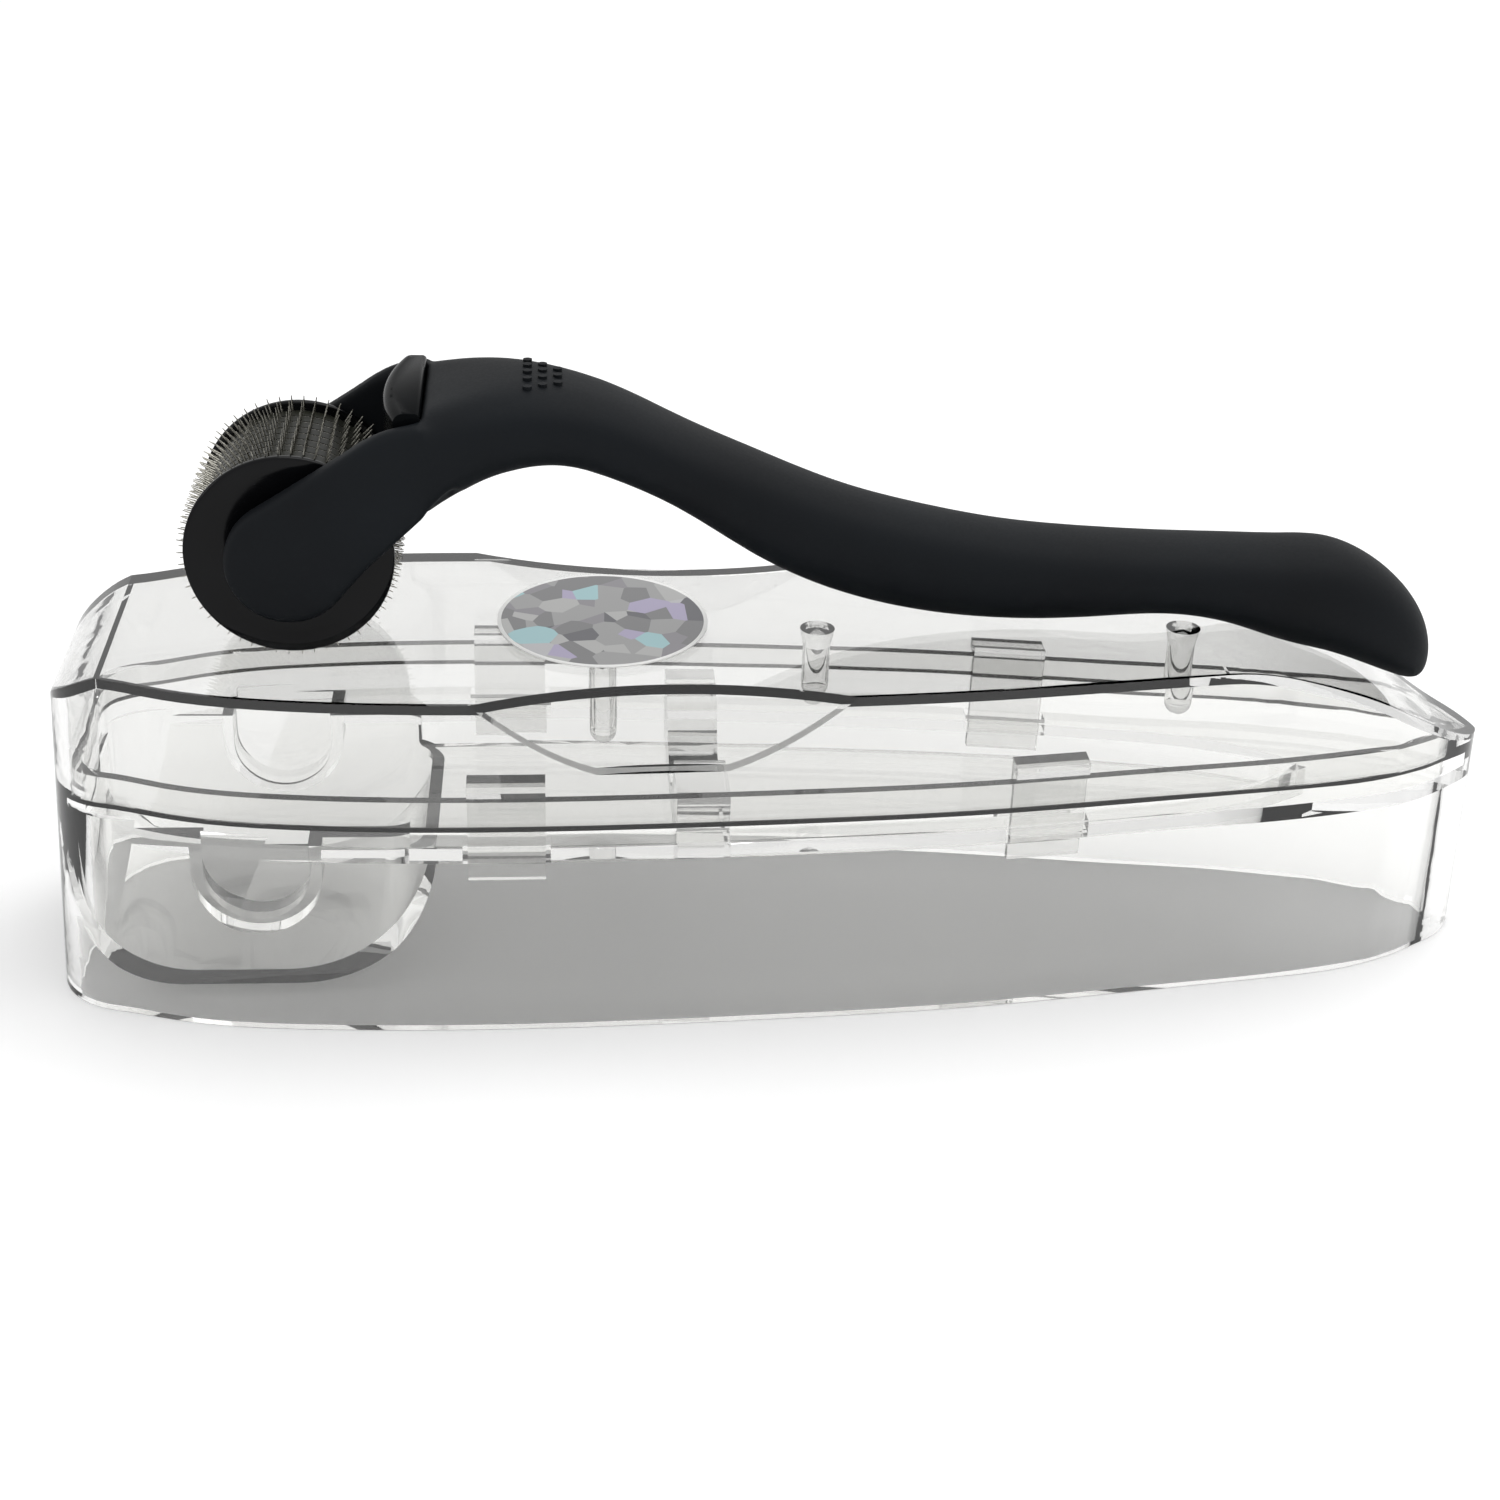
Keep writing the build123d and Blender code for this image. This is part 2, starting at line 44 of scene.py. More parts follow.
import bmesh
import bpy
from mathutils import Matrix, Vector

scene = bpy.context.scene
mm = 0.001
weldDistance = 0.001 * mm
edgeLook = {"segments": 3, "angle": 25}  # how bevelled edges are cut


def linearColor(hexText):
    # sRGB hex to the linear colour that sockets take
    parts = [int(hexText[i:i + 2], 16) / 255 for i in (0, 2, 4)]
    return tuple(c / 12.92 if c <= 0.04045 else ((c + 0.055) / 1.055) ** 2.4 for c in parts) + (1.0,)


def addNode(tree, kind, settings={}, values={}, links={}):
    # one node with its settings, its socket values and what feeds it
    node = tree.nodes.new(kind)
    for name, value in settings.items():
        setattr(node, name, value)
    for name, value in values.items():
        node.inputs[name].default_value = value
    for name, source in links.items():
        tree.links.new(source, node.inputs[name])
    return node


def newMaterial(name):
    material = bpy.data.materials.new(name)
    material.use_nodes = True
    material.node_tree.nodes.clear()
    return material, material.node_tree


def setRamp(ramp, stops):
    # stops are (place, colour or grey level)
    elements = ramp.color_ramp.elements
    while len(elements) < len(stops):
        elements.new(0.5)
    for element, (place, color) in zip(elements, stops):
        element.position = place
        element.color = color if isinstance(color, tuple) else (color, color, color, 1.0)


# materials

def clearPolystyrene(name, look):
    # crystal polystyrene, injection moulded: sharp reflections, slight flow waves, and grey seen edge-on
    material, tree = newMaterial(name)
    place = addNode(tree, "ShaderNodeTexCoord")
    wave = addNode(tree, "ShaderNodeTexNoise",
                   values={"Scale": 1 / (look["waveSize"] * mm), "Detail": 1.5, "Roughness": 0.4},
                   links={"Vector": place.outputs["Object"]})
    bump = addNode(tree, "ShaderNodeBump", values={"Strength": 0.1, "Distance": 0.2 * mm},
                   links={"Height": wave.outputs["Fac"]})
    plastic = addNode(tree, "ShaderNodeBsdfPrincipled",
                      values={"Base Color": linearColor(look["tint"]), "Roughness": 0.01, "IOR": look["bend"],
                              "Transmission Weight": 1.0},
                      links={"Normal": bump.outputs["Normal"]})
    smoke = addNode(tree, "ShaderNodeVolumeAbsorption",
                    values={"Color": linearColor(look["smoke"]), "Density": look["smokeDensity"]})
    addNode(tree, "ShaderNodeOutputMaterial",
            links={"Surface": plastic.outputs["BSDF"], "Volume": smoke.outputs["Volume"]})
    return material


def softTouchCoat():
    # ABS under a soft-touch paint: dead matte, near black, with a fine even grain
    look = {"shade": "090B0E", "top": "0E1216", "cloud": 22, "grainDepth": 0.012,
            "grain": 0.35}  # coarser than the paint's own grain, so that it shows
    material, tree = newMaterial("softTouchCoat")
    place = addNode(tree, "ShaderNodeTexCoord")
    cloud = addNode(tree, "ShaderNodeTexNoise", values={"Scale": 1 / (look["cloud"] * mm), "Detail": 3.0},
                    links={"Vector": place.outputs["Object"]})
    tone = addNode(tree, "ShaderNodeValToRGB", links={"Fac": cloud.outputs["Fac"]})
    setRamp(tone, [(0.3, linearColor(look["shade"])), (0.75, linearColor(look["top"]))])
    grain = addNode(tree, "ShaderNodeTexNoise", values={"Scale": 1 / (look["grain"] * mm), "Detail": 2.0},
                    links={"Vector": place.outputs["Object"]})
    rough = addNode(tree, "ShaderNodeMapRange", values={"To Min": 0.56, "To Max": 0.68},
                    links={"Value": grain.outputs["Fac"]})
    bump = addNode(tree, "ShaderNodeBump", values={"Strength": 0.5, "Distance": look["grainDepth"] * mm},
                   links={"Height": grain.outputs["Fac"]})
    coat = addNode(tree, "ShaderNodeBsdfPrincipled",
                   values={"IOR": 1.42, "Specular IOR Level": 0.16},
                   links={"Base Color": tone.outputs["Color"], "Roughness": rough.outputs["Result"],
                          "Normal": bump.outputs["Normal"]})
    addNode(tree, "ShaderNodeOutputMaterial", links={"Surface": coat.outputs["BSDF"]})
    return material


def polishedAbs(name, look):
    # ABS from a polished mould: dark and glossy, with a trace of orange peel and handling marks
    material, tree = newMaterial(name)
    place = addNode(tree, "ShaderNodeTexCoord")
    peel = addNode(tree, "ShaderNodeTexNoise", values={"Scale": 1 / (look["peel"] * mm), "Detail": 2.0},
                   links={"Vector": place.outputs["Object"]})
    smudge = addNode(tree, "ShaderNodeTexNoise", values={"Scale": 1 / (look["smudge"] * mm), "Detail": 4.0},
                     links={"Vector": place.outputs["Object"]})
    tone = addNode(tree, "ShaderNodeValToRGB", links={"Fac": smudge.outputs["Fac"]})
    setRamp(tone, [(0.3, linearColor(look["dark"])), (0.8, linearColor(look["light"]))])
    rough = addNode(tree, "ShaderNodeMapRange",
                    values={"To Min": look["roughness"], "To Max": look["roughness"] + 0.1},
                    links={"Value": smudge.outputs["Fac"]})
    bump = addNode(tree, "ShaderNodeBump", values={"Strength": 0.2, "Distance": 0.03 * mm},
                   links={"Height": peel.outputs["Fac"]})
    plastic = addNode(tree, "ShaderNodeBsdfPrincipled",
                      values={"IOR": look["ior"], "Specular IOR Level": look["gloss"]},
                      links={"Base Color": tone.outputs["Color"], "Roughness": rough.outputs["Result"],
                             "Normal": bump.outputs["Normal"]})
    addNode(tree, "ShaderNodeOutputMaterial", links={"Surface": plastic.outputs["BSDF"]})
    return material


def groundSteel(name, look):
    # stainless steel, drawn and ground: a soft shine and fine lines round the work, coarse enough to show
    material, tree = newMaterial(name)
    place = addNode(tree, "ShaderNodeTexCoord")
    stretch = addNode(tree, "ShaderNodeMapping", values={"Scale": look["stretch"]},
                      links={"Vector": place.outputs["Object"]})
    lines = addNode(tree, "ShaderNodeTexNoise",
                    values={"Scale": 1 / (look["lineWidth"] * mm), "Detail": 3.0},
                    links={"Vector": stretch.outputs["Vector"]})
    tone = addNode(tree, "ShaderNodeValToRGB", links={"Fac": lines.outputs["Fac"]})
    setRamp(tone, [(0.3, linearColor(look["dark"])), (0.7, linearColor(look["light"]))])
    rough = addNode(tree, "ShaderNodeMapRange",
                    values={"To Min": look["roughness"], "To Max": look["roughness"] + 0.14},
                    links={"Value": lines.outputs["Fac"]})
    bump = addNode(tree, "ShaderNodeBump", values={"Strength": 0.15, "Distance": 0.01 * mm},
                   links={"Height": lines.outputs["Fac"]})
    steel = addNode(tree, "ShaderNodeBsdfPrincipled", values={"Metallic": 1.0},
                    links={"Base Color": tone.outputs["Color"], "Roughness": rough.outputs["Result"],
                           "Normal": bump.outputs["Normal"]})
    addNode(tree, "ShaderNodeOutputMaterial", links={"Surface": steel.outputs["BSDF"]})
    return material


def acetalPlastic():
    # natural acetal, machined smooth: milky white with a waxy sheen
    material, tree = newMaterial("acetalPlastic")
    place = addNode(tree, "ShaderNodeTexCoord")
    cloud = addNode(tree, "ShaderNodeTexNoise", values={"Scale": 1 / (1.2 * mm), "Detail": 3.0},
                    links={"Vector": place.outputs["Object"]})
    tone = addNode(tree, "ShaderNodeValToRGB", links={"Fac": cloud.outputs["Fac"]})
    setRamp(tone, [(0.3, linearColor("D6D4CC")), (0.7, linearColor("E6E4DD"))])
    bump = addNode(tree, "ShaderNodeBump", values={"Strength": 0.15, "Distance": 0.01 * mm},
                   links={"Height": cloud.outputs["Fac"]})
    plastic = addNode(tree, "ShaderNodeBsdfPrincipled", values={"IOR": 1.48, "Roughness": 0.38},
                      links={"Base Color": tone.outputs["Color"], "Normal": bump.outputs["Normal"]})
    addNode(tree, "ShaderNodeOutputMaterial", links={"Surface": plastic.outputs["BSDF"]})
    return material


def holographicFoil(centre, halfLength, halfWidth):
    # embossed holographic foil with a white edge: silver facets whose grey levels and few cyan, lilac or pink
    # throws are painted reflection, standing in for the glints and rainbow the foil throws back
    look = {"facet": 3.3, "scatter": 0.75, "edge": 0.962, "border": "F2F2F0", "roughness": 0.28}
    material, tree = newMaterial("holographicFoil")
    place = addNode(tree, "ShaderNodeTexCoord")
    shift = addNode(tree, "ShaderNodeMapping", settings={"vector_type": "TEXTURE"},
                    values={"Location": centre}, links={"Vector": place.outputs["Object"]})
    flat = addNode(tree, "ShaderNodeVectorMath", settings={"operation": "MULTIPLY"}, values={1: (1, 1, 0)},
                   links={0: shift.outputs["Vector"]})
    shards = addNode(tree, "ShaderNodeTexVoronoi",
                     values={"Scale": 1 / (look["facet"] * mm), "Randomness": look["scatter"]},
                     links={"Vector": flat.outputs["Vector"]})
    dice = addNode(tree, "ShaderNodeSeparateColor", links={"Color": shards.outputs["Color"]})
    tone = addNode(tree, "ShaderNodeValToRGB", links={"Fac": dice.outputs["Red"]})
    tone.color_ramp.interpolation = "CONSTANT"
    # painted reflection: a fixed grey or colour for each facet in place of its glint
    paintedFacetGlints = [(0.0, "7C7C7D"), (0.22, "9A9A9A"), (0.4, "66666A"), (0.52, "ADADAC"), (0.68, "8A888C"),
              (0.84, "9DBEC2"), (0.88, "A7A0B8"), (0.92, "B9A3A9"), (0.95, "B4B4B6")]
    setRamp(tone, [(stop, linearColor(shade)) for stop, shade in paintedFacetGlints])
    squash = addNode(tree, "ShaderNodeMapping", values={"Scale": (1 / halfLength, 1 / halfWidth, 0.0)},
                     links={"Vector": shift.outputs["Vector"]})
    ring = addNode(tree, "ShaderNodeVectorMath", settings={"operation": "LENGTH"},
                   links={0: squash.outputs["Vector"]})
    border = addNode(tree, "ShaderNodeMath", settings={"operation": "GREATER_THAN"},
                     values={1: look["edge"]}, links={0: ring.outputs["Value"]})
    color = addNode(tree, "ShaderNodeMix", settings={"data_type": "RGBA"},
                    values={7: linearColor(look["border"])},
                    links={0: border.outputs["Value"], 6: tone.outputs["Color"]})
    metal = addNode(tree, "ShaderNodeMath", settings={"operation": "MULTIPLY_ADD"},
                    values={1: -0.85, 2: 0.85}, links={0: border.outputs["Value"]})
    foil = addNode(tree, "ShaderNodeBsdfPrincipled", values={"Roughness": look["roughness"]},
                   links={"Base Color": color.outputs[2], "Metallic": metal.outputs["Value"]})
    addNode(tree, "ShaderNodeOutputMaterial", links={"Surface": foil.outputs["BSDF"]})
    return material


def matteFloor():
    # seamless white studio card
    material, tree = newMaterial("matteFloor")
    place = addNode(tree, "ShaderNodeTexCoord")
    cloud = addNode(tree, "ShaderNodeTexNoise", values={"Scale": 3.0},
                    links={"Vector": place.outputs["Object"]})
    tone = addNode(tree, "ShaderNodeValToRGB", links={"Fac": cloud.outputs["Fac"]})
    setRamp(tone, [(0.0, 0.97), (1.0, 0.985)])
    card = addNode(tree, "ShaderNodeBsdfPrincipled", values={"Roughness": 0.9, "Specular IOR Level": 0.1},
                   links={"Base Color": tone.outputs["Color"]})
    addNode(tree, "ShaderNodeOutputMaterial", links={"Surface": card.outputs["BSDF"]})
    return material


# mesh helpers

def giveMaterial(piece, material):
    piece.data.materials.clear()
    piece.data.materials.append(material)


def addObject(name, mesh, material):
    piece = bpy.data.objects.new(name, mesh)
    scene.collection.objects.link(piece)
    giveMaterial(piece, material)
    return piece


def mergedCopy(name, sources, material):
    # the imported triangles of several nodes, welded into one mesh
    work = bmesh.new()
    for source in sources:
        work.from_mesh(nodes[source].data)
    bmesh.ops.remove_doubles(work, verts=work.verts, dist=weldDistance)
    mesh = bpy.data.meshes.new(name)
    work.to_mesh(mesh)
    work.free()
    return addObject(name, mesh, material)


def applyModifiers(piece):
    # turn what the modifiers give into the piece's own plain mesh
    graph = bpy.context.evaluated_depsgraph_get()
    mesh = bpy.data.meshes.new_from_object(piece.evaluated_get(graph))
    piece.modifiers.clear()
    piece.data = mesh
    for polygon in mesh.polygons:
        polygon.use_smooth = True


def bevelEdges(piece, width):
    bevel = piece.modifiers.new("edges", "BEVEL")
    bevel.width = width * mm
    bevel.segments = edgeLook["segments"]
    bevel.limit_method = "ANGLE"
    bevel.angle_limit = math.radians(edgeLook["angle"])
    bevel.harden_normals = True


def latheMesh(name, profile, centre, steps, material):
    # a closed profile of (radius, place along Y) turned about the drum's axis
    work = bmesh.new()
    rings = []
    for step in range(steps):
        angle = 2 * math.pi * step / steps
        spots = [Vector((r * math.cos(angle), y, r * math.sin(angle))) * mm + centre for r, y in profile]
        rings.append([work.verts.new(spot) for spot in spots])
    count = len(profile)
    for step in range(steps):
        here, there = rings[step], rings[(step + 1) % steps]
        for i in range(count):
            work.faces.new((here[i], here[(i + 1) % count], there[(i + 1) % count], there[i]))
    bmesh.ops.recalc_face_normals(work, faces=work.faces)
    mesh = bpy.data.meshes.new(name)
    work.to_mesh(mesh)
    work.free()
    return addObject(name, mesh, material)


def newGeometryTree(name, sizes):
    # a geometry tree with a named input for each size
    tree = bpy.data.node_groups.new(name, "GeometryNodeTree")
    for label, (kind, value) in sizes.items():
        socket = tree.interface.new_socket(label, in_out="INPUT", socket_type=kind)
        socket.default_value = value
    tree.interface.new_socket("Geometry", in_out="OUTPUT", socket_type="NodeSocketGeometry")
    return tree


def growFromTree(name, tree, sizes, material):
    # run a geometry tree once and keep what it makes as a plain mesh
    piece = addObject(name, bpy.data.meshes.new(name), material)
    grower = piece.modifiers.new("grow", "NODES")
    grower.node_group = tree
    for item in tree.interface.items_tree:
        if item.item_type == "SOCKET" and item.in_out == "INPUT":
            grower[item.identifier] = sizes[item.name][1]
    graph = bpy.context.evaluated_depsgraph_get()
    mesh = bpy.data.meshes.new_from_object(piece.evaluated_get(graph))
    piece.modifiers.clear()
    piece.data = mesh
    return piece


# the storage case

clearLook = {"smoke": "8F8F8E", "bend": 1.59, "waveSize": 16.0}
# one plastic in two tints: the base's clearer tint and thinner smoke are painted light that lifts the
# shadowed floor seen through it, and the lid's greyer tint and denser smoke are painted shade
baseClearPaintedLight = clearPolystyrene("clearPolystyreneBase", clearLook | {"tint": "FDFDFC", "smokeDensity": 6.0})
lidClearPaintedShade = clearPolystyrene("clearPolystyreneLid", clearLook | {"tint": "EEEEED", "smokeDensity": 12.0})
low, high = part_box("lid_sticker")
stickerCentre = ((low[0] + high[0]) / 2, (low[1] + high[1]) / 2, 0.0)
foil = holographicFoil(stickerCentre, (high[0] - low[0]) / 2, (high[1] - low[1]) / 2)
giveMaterial(nodes["lid_sticker"], foil)
print("sticker done")


# the drum

drumLook = {"rings": 10, "perRing": 54, "needleSides": 7, "seed": 7,
            "discBore": 7.0, "discRim": 10.3, "discHalf": 0.15, "discSteps": 108}
flangeLook = {"radius": 11.3, "thick": 0.9, "outer": 9.3, "bore": 2.6, "rimWidth": 1.1, "slope": 0.9,
              "dish": 0.35, "boss": 4.2, "edge": 0.22, "steps": 144}
low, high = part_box("needle_disc_01")
firstRing = (low[1] + high[1]) / 2 / mm  # the rings stand evenly between here and the same place at the back
ringPitch = -2 * firstRing / (drumLook["rings"] - 1)
low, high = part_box("axle")
axleCentre = Vector(((low[0] + high[0]) / 2, 0.0, (low[2] + high[2]) / 2))
glossBlack = polishedAbs("polishedBlackAbs", {
    "dark": "050506", "light": "0A0B0D", "smudge": 6, "peel": 1.6,
    "roughness": 0.08, "gloss": 0.16, "ior": 1.45})
# a shaded copy of the flanges' polished black ABS: its reflection is cut to an IOR of 1.07 so that the
# bridge's top face renders darker, painted shade
shadedBridgeBlack = polishedAbs("polishedBridgeAbsShaded", {
    "dark": "060708", "light": "0B0D0F", "smudge": 6, "peel": 1.6,
    "roughness": 0.14, "gloss": 0.5, "ior": 1.07})
hubPlastic = polishedAbs("oliveHubPlastic", {
    "dark": "13140F", "light": "20211A", "smudge": 6, "peel": 0.8,
    "roughness": 0.36, "gloss": 0.2, "ior": 1.4})
needleSteel = groundSteel("needleSteel", {
    "dark": "5E5C56", "light": "B4B2A9", "lineWidth": 0.2, "stretch": (1, 4, 1), "roughness": 0.2})
axleSteel = groundSteel("axleSteel", {
    "dark": "9C9D9E", "light": "CFD0D0", "lineWidth": 0.15, "stretch": (6, 1, 6), "roughness": 0.24})
whiteAcetal = acetalPlastic()

radius, outer, boss, dish = (flangeLook[k] for k in ("radius", "outer", "boss", "dish"))
inner = outer - flangeLook["thick"]
slopeTop = radius - flangeLook["rimWidth"]
flangeProfile = [(flangeLook["bore"], inner), (radius, inner), (radius, outer), (slopeTop, outer),
                 (slopeTop - flangeLook["slope"], outer - dish), (boss + dish, outer - dish), (boss, outer),
                 (flangeLook["bore"], outer)]
for side, node in ((-1, "front_flange"), (1, "back_flange")):
    turned = [(r, side * y) for r, y in flangeProfile]
    flange = latheMesh(node.replace("_", "-"), turned, axleCentre, flangeLook["steps"], glossBlack)
    bevelEdges(flange, flangeLook["edge"])
    applyModifiers(flange)
    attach(flange, "drum")
    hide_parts(node)
print("flanges turned")

needleSizes = {
    "ringRadius": ("NodeSocketFloat", 10.35 * mm),
    "needleLength": ("NodeSocketFloat", 1.74 * mm),
    "rootRadius": ("NodeSocketFloat", 0.13 * mm),
    "pointRadius": ("NodeSocketFloat", 0.05 * mm),
    "perRing": ("NodeSocketInt", drumLook["perRing"]),
    "rings": ("NodeSocketInt", drumLook["rings"]),
    "ringPitch": ("NodeSocketFloat", ringPitch * mm),
    "tilt": ("NodeSocketFloat", 0.035),
    "seed": ("NodeSocketInt", drumLook["seed"]),
    "centre": ("NodeSocketVector", tuple(axleCentre)),
}


def needleTree():
    # rings of needles standing out of the drum in rows along it, each needle a little off true
    tree = newGeometryTree("needleRings", needleSizes)
    size = addNode(tree, "NodeGroupInput").outputs
    total = addNode(tree, "ShaderNodeMath", settings={"operation": "MULTIPLY"},
                    links={0: size["perRing"], 1: size["rings"]})
    index = addNode(tree, "GeometryNodeInputIndex")
    ring = addNode(tree, "ShaderNodeMath", settings={"operation": "DIVIDE"},
                   links={0: index.outputs[0], 1: size["perRing"]})
    ring = addNode(tree, "ShaderNodeMath", settings={"operation": "FLOOR"}, links={0: ring.outputs[0]})
    turn = addNode(tree, "ShaderNodeMath", settings={"operation": "DIVIDE"},
                   links={0: index.outputs[0], 1: size["perRing"]})
    turn = addNode(tree, "ShaderNodeMath", settings={"operation": "MULTIPLY"}, values={1: 2 * math.pi},
                   links={0: turn.outputs[0]})
    cosine = addNode(tree, "ShaderNodeMath", settings={"operation": "COSINE"}, links={0: turn.outputs[0]})
    sine = addNode(tree, "ShaderNodeMath", settings={"operation": "SINE"}, links={0: turn.outputs[0]})
    outward = addNode(tree, "ShaderNodeCombineXYZ", links={"X": cosine.outputs[0], "Z": sine.outputs[0]})
    middle = addNode(tree, "ShaderNodeMath", settings={"operation": "MULTIPLY_ADD"},
                     values={1: 0.5, 2: -0.5}, links={0: size["rings"]})
    along = addNode(tree, "ShaderNodeMath", settings={"operation": "SUBTRACT"},
                    links={0: ring.outputs[0], 1: middle.outputs[0]})
    along = addNode(tree, "ShaderNodeMath", settings={"operation": "MULTIPLY"},
                    links={0: along.outputs[0], 1: size["ringPitch"]})
    across = addNode(tree, "ShaderNodeCombineXYZ", links={"Y": along.outputs[0]})
    reach = addNode(tree, "ShaderNodeVectorMath", settings={"operation": "SCALE"},
                    links={0: outward.outputs[0], "Scale": size["ringRadius"]})
    spot = addNode(tree, "ShaderNodeVectorMath", links={0: reach.outputs[0], 1: across.outputs[0]})
    spot = addNode(tree, "ShaderNodeVectorMath", links={0: spot.outputs[0], 1: size["centre"]})
    points = addNode(tree, "GeometryNodePoints",
                     links={"Count": total.outputs[0], "Position": spot.outputs[0]})
    least = addNode(tree, "ShaderNodeMath", settings={"operation": "MULTIPLY"}, values={1: -1.0},
                    links={0: size["tilt"]})
    wobble = addNode(tree, "FunctionNodeRandomValue", settings={"data_type": "FLOAT_VECTOR"},
                     links={0: least.outputs[0], 1: size["tilt"], "Seed": size["seed"]})
    aim = addNode(tree, "ShaderNodeVectorMath", links={0: outward.outputs[0], 1: wobble.outputs[0]})
    turnUp = addNode(tree, "FunctionNodeAlignRotationToVector", settings={"axis": "Z"},
                     links={"Vector": aim.outputs[0]})
    needle = addNode(tree, "GeometryNodeMeshCone", values={"Vertices": drumLook["needleSides"]},
                     links={"Radius Top": size["pointRadius"], "Radius Bottom": size["rootRadius"],
                            "Depth": size["needleLength"]})
    stand = addNode(tree, "GeometryNodeInstanceOnPoints",
                    links={"Points": points.outputs[0], "Instance": needle.outputs["Mesh"],
                           "Rotation": turnUp.outputs[0]})
    solid = addNode(tree, "GeometryNodeRealizeInstances", links={"Geometry": stand.outputs[0]})
    steel = addNode(tree, "GeometryNodeSetMaterial", values={"Material": needleSteel},
                    links={"Geometry": solid.outputs[0]})
    addNode(tree, "NodeGroupOutput", links={"Geometry": steel.outputs[0]})
    return tree


needles = growFromTree("needles", needleTree(), needleSizes, needleSteel)
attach(needles, "drum")
print("needles:", len(needles.data.polygons), "faces")

bore, rim = drumLook["discBore"], drumLook["discRim"]
for index in range(drumLook["rings"]):
    y = firstRing + index * ringPitch
    front, back = y - drumLook["discHalf"], y + drumLook["discHalf"]
    discProfile = [(bore, front), (rim, front), (rim, back), (bore, back)]
    disc = latheMesh(f"disc-{index + 1:02d}", discProfile, axleCentre, drumLook["discSteps"], needleSteel)
    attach(disc, "drum")
    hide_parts(f"needle_disc_{index + 1:02d}")


# the handle

handleLook = {"voxel": 0.33, "smooth": 8, "smoothing": 0.5,
              "rootStart": 8.0, "rootEnd": 25.0, "rootFade": 4.0, "rootSmooth": 60,
              "keelStart": 9.15, "keelSide": 8.0, "keelFade": 1.5, "keelRun": (10, 18), "keelLow": -3}
# the fairings' corners: how far behind the axle, how far out from the middle, and how far above the axle
fairingLook = {"armPlace": 11.0, "armSides": (10.0, 12.3), "armHeights": (2.2, 13.6),
               "flankPlace": 21.5, "flankWidth": 10.2, "flankMiddle": 12.7, "flankHalf": 4.9,
               "flankTurns": (-1.1, -0.8, -0.4, 0.0, 0.4, 0.8, 1.1)}
softTouch = softTouchCoat()
grip = mergedCopy("softTouchHandle", ["handle_front_half", "handle_back_half"], softTouch)
armEnd = [(fairingLook["armPlace"], y, z) for y in fairingLook["armSides"] for z in fairingLook["armHeights"]]
flank = [(fairingLook["flankPlace"], fairingLook["flankWidth"] * math.cos(turn),
          fairingLook["flankMiddle"] + fairingLook["flankHalf"] * math.sin(turn))
         for turn in fairingLook["flankTurns"]]
for side in (-1, 1):
    # a fairing under the skin, from the end of each arm to the grip's flank, so that one flows into the other
    work = bmesh.new()
    work.from_mesh(grip.data)
    corners = [work.verts.new(axleCentre + Vector((x, side * y, z)) * mm) for x, y, z in armEnd + flank]
    hull = bmesh.ops.convex_hull(work, input=corners)
    left = hull["geom_interior"] + hull["geom_unused"]
    loose = [item for item in left if isinstance(item, bmesh.types.BMVert) and not item.link_faces]
    bmesh.ops.delete(work, geom=loose, context="VERTS")
    work.to_mesh(grip.data)
    work.free()
remesh = grip.modifiers.new("skin", "REMESH")
remesh.mode = "VOXEL"
remesh.voxel_size = handleLook["voxel"] * mm
soften = grip.modifiers.new("soften", "SMOOTH")
soften.iterations = handleLook["smooth"]
soften.factor = handleLook["smoothing"]
applyModifiers(grip)
roots = grip.vertex_groups.new(name="armRoots")  # the arms run into the grip here
keelFrom, keelTo = handleLook["keelRun"]
for vertex in grip.data.vertices:
    behind = (vertex.co.x - axleCentre.x) / mm
    above = (vertex.co.z - axleCentre.z) / mm
    beyond = abs(vertex.co.y) / mm - handleLook["keelSide"]
    keel = behind - handleLook["keelStart"]  # the straight underside of each arm's root
    if keelFrom < behind < keelTo and beyond > 0 and handleLook["keelLow"] < above < keel:
        vertex.co.z += (keel - above) * min(beyond / handleLook["keelFade"], 1.0) * mm
    weight = min(behind - handleLook["rootStart"], handleLook["rootEnd"] - behind) / handleLook["rootFade"]
    if weight > 0:
        roots.add([vertex.index], min(weight, 1.0), "REPLACE")
blend = grip.modifiers.new("blend", "SMOOTH")
blend.vertex_group = "armRoots"
blend.iterations = handleLook["rootSmooth"]
blend.factor = handleLook["smoothing"]
applyModifiers(grip)
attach(grip, "roller_handle")
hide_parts("handle_front_half", "handle_back_half")
print("handle skin:", len(grip.data.polygons), "faces")

crossLook = {"edge": 0.35}
crossPiece = mergedCopy("crossPiece", ["fork_bridge"], shadedBridgeBlack)
bevelEdges(crossPiece, crossLook["edge"])
applyModifiers(crossPiece)
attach(crossPiece, "roller_handle")
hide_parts("fork_bridge")

# pieces that keep their CAD shape
finishes = {"case_base": baseClearPaintedLight, "case_lid": lidClearPaintedShade, "grip_dots": softTouch, "axle": axleSteel,
            "front_washer": axleSteel, "back_washer": axleSteel, "drum_core": hubPlastic,
            "front_bush": whiteAcetal, "back_bush": whiteAcetal}
for index in range(drumLook["rings"] - 1):
    finishes[f"spacer_{index + 1:02d}"] = hubPlastic
for node, finish in finishes.items():
    giveMaterial(nodes[node], finish)
print("CAD pieces finished")


# floor, light and camera

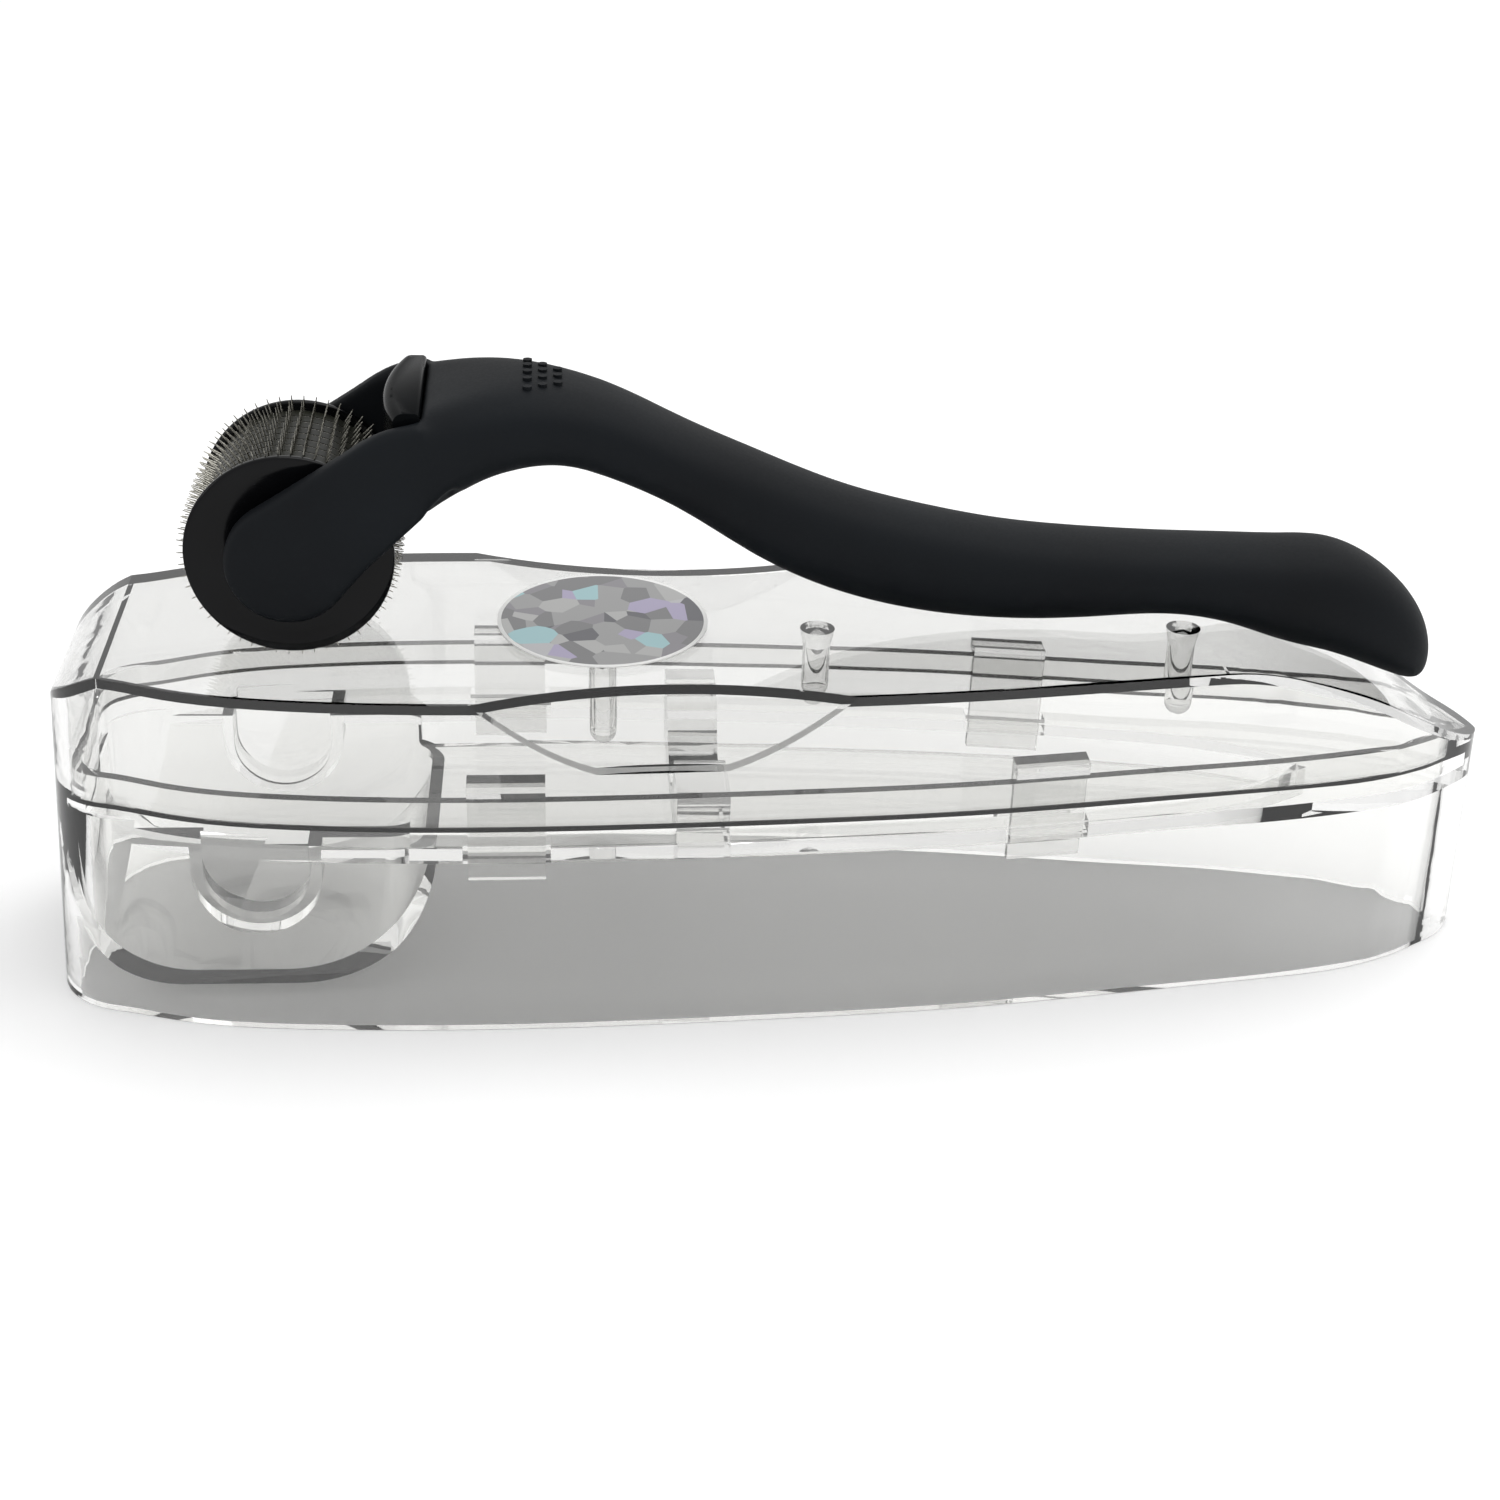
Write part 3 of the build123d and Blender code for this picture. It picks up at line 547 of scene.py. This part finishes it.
# lengths here are in metres
stageLook = {"floorHalf": 4.0, "floorHeight": -0.0001, "ambient": 0.96, "aim": (0, 0, 0.03),
             "keyPlace": (0.28, 0.1, 0.62), "keySize": (0.5, 0.35), "keyPower": 1.5,
             "fillPlace": (-0.35, -0.4, 0.5), "fillSize": (0.12, 0.2), "fillPower": 0.5}
floorMesh = bpy.data.meshes.new("floor")
half = stageLook["floorHalf"]
floorCorners = [(-half, -half), (half, -half), (half, half), (-half, half)]
floorMesh.from_pydata([(x, y, stageLook["floorHeight"]) for x, y in floorCorners], [], [(0, 1, 2, 3)])
floor = addObject("floor", floorMesh, matteFloor())

world = bpy.data.worlds.new("studio")
world.use_nodes = True
world.node_tree.nodes.clear()
tree = world.node_tree
path = addNode(tree, "ShaderNodeLightPath")
seen = addNode(tree, "ShaderNodeMath", settings={"operation": "MAXIMUM"},
               links={0: path.outputs["Is Camera Ray"], 1: path.outputs["Is Glossy Ray"]})
seen = addNode(tree, "ShaderNodeMath", settings={"operation": "MAXIMUM"},
               links={0: seen.outputs[0], 1: path.outputs["Is Transmission Ray"]})
strength = addNode(tree, "ShaderNodeMapRange", values={"To Min": stageLook["ambient"], "To Max": 1.0},
                   links={"Value": seen.outputs[0]})
sky = addNode(tree, "ShaderNodeBackground", values={"Color": (1, 1, 1, 1)},
              links={"Strength": strength.outputs[0]})
addNode(tree, "ShaderNodeOutputWorld", links={"Surface": sky.outputs[0]})
scene.world = world


def addLamp(name, place, size, power):
    lamp = bpy.data.lights.new(name, "AREA")
    lamp.shape = "RECTANGLE"
    lamp.size, lamp.size_y = size
    lamp.energy = power
    holder = bpy.data.objects.new(name, lamp)
    scene.collection.objects.link(holder)
    holder.location = place
    holder.rotation_euler = (Vector(stageLook["aim"]) - Vector(place)).to_track_quat("-Z", "Y").to_euler()


addLamp("keyLight", stageLook["keyPlace"], stageLook["keySize"], stageLook["keyPower"])
addLamp("fillLight", stageLook["fillPlace"], stageLook["fillSize"], stageLook["fillPower"])

cameraLook = {"turn": 5.5, "down": 27.5, "roll": -2.25, "distance": 0.284,
              "aim": (-0.00444, 0.00043, 0.02377), "lens": 57.36, "sensor": 36, "near": 0.01}
turn, down, roll = (math.radians(cameraLook[k]) for k in ("turn", "down", "roll"))
forward = Vector((math.sin(turn) * math.cos(down), math.cos(turn) * math.cos(down), -math.sin(down)))
level = Vector((math.cos(turn), -math.sin(turn), 0))
upright = level.cross(forward)
right = level * math.cos(roll) - upright * math.sin(roll)
up = upright * math.cos(roll) + level * math.sin(roll)
camera = bpy.data.cameras.new("camera")
camera.lens = cameraLook["lens"]
camera.sensor_width = cameraLook["sensor"]
camera.clip_start = cameraLook["near"]
cameraHolder = bpy.data.objects.new("camera", camera)
scene.collection.objects.link(cameraHolder)
pose = Matrix((right, up, -forward)).transposed().to_4x4()
pose.translation = Vector(cameraLook["aim"]) - forward * cameraLook["distance"]
cameraHolder.matrix_world = pose
scene.camera = cameraHolder
scene.view_settings.view_transform = "Standard"
print("stage set")
